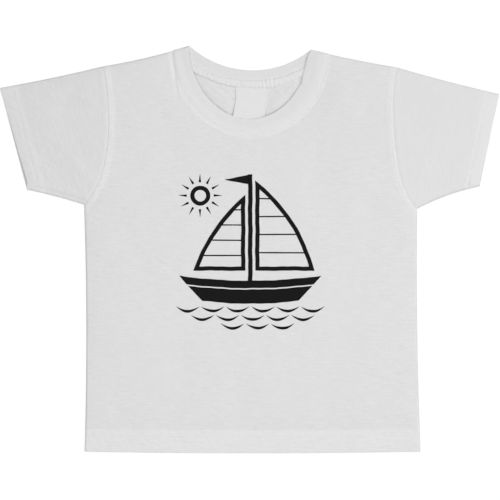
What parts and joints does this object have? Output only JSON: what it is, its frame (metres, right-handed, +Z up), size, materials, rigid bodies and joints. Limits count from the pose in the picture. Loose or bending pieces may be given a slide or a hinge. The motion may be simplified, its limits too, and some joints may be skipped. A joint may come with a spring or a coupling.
{
  "type": "child's short-sleeved t-shirt",
  "caption": "Child's crew-neck t-shirt of white cotton jersey with short sleeves, a rib neckband, turned hems and a black chest print, laid flat front up.",
  "frame": {"origin": "centre of the shirt's outline as it lies, on the surface it lies on", "axes": "+X across the shirt to the right as seen from above, +Y from the hem towards the neck, +Z up through the front"},
  "size_m": [0.4974, 0.4077, 0.0075],
  "materials": {
    "jersey": "fine white cotton single jersey, matt",
    "rib": "white cotton rib knit, folded double, matt",
    "tape": "white cotton jersey tape",
    "label": "plain white woven label, blank",
    "ink": "matt black textile ink soaked into the cloth"
  },
  "bodies": {
    "root": {"front_panel": "jersey", "back_panel": "jersey", "left_sleeve": "jersey", "right_sleeve": "jersey", "neckband": "rib", "neck_tape": "tape", "neck_label": "label", "front_neck_seam": "jersey", "left_armhole_seam": "jersey", "right_armhole_seam": "jersey", "left_side_seam": "jersey", "right_side_seam": "jersey", "left_shoulder_seam": "jersey", "right_shoulder_seam": "jersey", "left_underarm_seam": "jersey", "right_underarm_seam": "jersey", "chest_print": "ink"}
  },
  "joints": []
}
